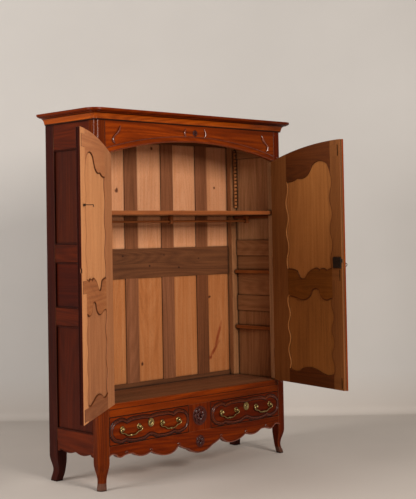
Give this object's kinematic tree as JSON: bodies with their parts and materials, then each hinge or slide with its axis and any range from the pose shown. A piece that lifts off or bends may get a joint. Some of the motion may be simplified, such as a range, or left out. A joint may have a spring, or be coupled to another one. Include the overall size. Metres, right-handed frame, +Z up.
{
  "type": "two-door armoire",
  "caption": "Tall two-door armoire with moulded cornice, arched frieze, shaped door panels, drawers, scalloped apron and cabriole feet, standing with its doors open.",
  "frame": {"origin": "on the floor below the middle of the bounding box, with the doors open as they rest", "axes": "+X to the right along the front, +Y from the front to the back, +Z up"},
  "size_m": [2.1178, 1.2021, 2.2],
  "materials": {
    "walnut_front": "french-polished red-brown cherry or walnut",
    "oak_panels": "dry, unpolished boards",
    "dark_boards": "dry, dark-aged boards",
    "brass": "aged, worn brass",
    "iron": "forged iron, dark"
  },
  "bodies": {
    "carcase": {"front_left_post": "walnut_front", "front_right_post": "walnut_front", "back_left_post": "walnut_front", "back_right_post": "walnut_front", "frieze_rail": "walnut_front", "lower_front_rail": "walnut_front", "centre_stile": "walnut_front", "apron_rail": "walnut_front", "left_side_rails": "walnut_front", "left_side_panels": "walnut_front", "right_side_rails": "walnut_front", "right_side_panels": "walnut_front", "back_rails": "dark_boards", "back_muntins": "dark_boards", "back_upper_panels": "oak_panels", "back_lower_panels": "oak_panels", "floor_boards": "oak_panels", "shelf_boards": "oak_panels", "top_boards": "oak_panels", "side_cleats": "dark_boards", "cornice": "walnut_front", "toothed_racks": "dark_boards", "hanging_rod": "oak_panels", "rod_brackets": "dark_boards", "drawer_runners": "dark_boards", "hook_plate": "iron", "fixed_hinges": "iron"},
    "left_door": {"left_door_hinge_stile": "walnut_front", "left_door_lock_stile": "walnut_front", "left_door_top_rail": "walnut_front", "left_door_middle_rail": "walnut_front", "left_door_bottom_rail": "walnut_front", "left_door_panels": "walnut_front", "left_moving_hinges": "iron", "left_door_hook_staple": "iron"},
    "right_door": {"right_door_hinge_stile": "walnut_front", "right_door_lock_stile": "walnut_front", "right_door_top_rail": "walnut_front", "right_door_middle_rail": "walnut_front", "right_door_bottom_rail": "walnut_front", "right_door_panels": "walnut_front", "right_moving_hinges": "iron", "right_door_lock_case": "iron", "right_door_escutcheon": "brass"},
    "left_door_hook": {"left_door_hook": "iron"},
    "key": {"right_door_key": "iron"},
    "right_door_lock_bolt": {"right_door_lock_bolt": "iron"},
    "left_drawer": {"left_drawer_front": "walnut_front", "left_drawer_box": "oak_panels", "left_drawer_fittings": "brass"},
    "left_drawer_bolt": {"left_drawer_bolt": "iron"},
    "left_drawer_inner_bail": {"left_drawer_inner_bail": "brass"},
    "left_drawer_outer_bail": {"left_drawer_outer_bail": "brass"},
    "right_drawer": {"right_drawer_front": "walnut_front", "right_drawer_box": "oak_panels", "right_drawer_fittings": "brass"},
    "right_drawer_bolt": {"right_drawer_bolt": "iron"},
    "right_drawer_inner_bail": {"right_drawer_inner_bail": "brass"},
    "right_drawer_outer_bail": {"right_drawer_outer_bail": "brass"}
  },
  "joints": [
    {"name": "left_door_hinge", "type": "hinge", "parent": "carcase", "child": "left_door", "pos_m": [-0.507, 0.105, 1.24], "axis": [0, 0, 1], "range_deg": [-25, 141.7]},
    {"name": "right_door_hinge", "type": "hinge", "parent": "carcase", "child": "right_door", "pos_m": [0.923, 0.105, 1.24], "axis": [0, 0, -1], "range_deg": [-87, 79.4]},
    {"name": "key_turn", "type": "hinge", "parent": "right_door", "child": "key", "pos_m": [0.80159, -0.54374, 1.258], "axis": [-0.9829, 0.184, 0], "range_deg": [0, 360]},
    {"name": "lock_bolt_throw", "type": "slide", "parent": "right_door", "child": "right_door_lock_bolt", "axis": [-0.184, -0.9829, 0], "range_m": [0, 0.012]},
    {"name": "shelf_hook_swing", "type": "hinge", "parent": "left_door", "child": "left_door_hook", "pos_m": [-1.00533, -0.33698, 1.626], "axis": [-0.7848, -0.6198, 0], "range_deg": [-15, 85]},
    {"name": "left_drawer_slide", "type": "slide", "parent": "carcase", "child": "left_drawer", "axis": [0, -1, 0], "range_m": [0, 0.3]},
    {"name": "left_drawer_bolt_rise", "type": "slide", "parent": "left_drawer", "child": "left_drawer_bolt", "axis": [0, 0, 1], "range_m": [0, 0.008]},
    {"name": "left_drawer_inner_bail_swing", "type": "hinge", "parent": "left_drawer", "child": "left_drawer_inner_bail", "pos_m": [-0.04125, 0.096, 0.34], "axis": [-1, 0, 0], "range_deg": [0, 95]},
    {"name": "left_drawer_outer_bail_swing", "type": "hinge", "parent": "left_drawer", "child": "left_drawer_outer_bail", "pos_m": [-0.35125, 0.096, 0.34], "axis": [-1, 0, 0], "range_deg": [0, 95]},
    {"name": "right_drawer_slide", "type": "slide", "parent": "carcase", "child": "right_drawer", "axis": [0, -1, 0], "range_m": [0, 0.3]},
    {"name": "right_drawer_bolt_rise", "type": "slide", "parent": "right_drawer", "child": "right_drawer_bolt", "axis": [0, 0, 1], "range_m": [0, 0.008]},
    {"name": "right_drawer_inner_bail_swing", "type": "hinge", "parent": "right_drawer", "child": "right_drawer_inner_bail", "pos_m": [0.45725, 0.096, 0.34], "axis": [-1, 0, 0], "range_deg": [0, 95]},
    {"name": "right_drawer_outer_bail_swing", "type": "hinge", "parent": "right_drawer", "child": "right_drawer_outer_bail", "pos_m": [0.76725, 0.096, 0.34], "axis": [-1, 0, 0], "range_deg": [0, 95]}
  ],
  "couplings": [
    {"joint": "key_turn", "follows": "lock_bolt_throw", "rad_per_m": 523.6}
  ]
}
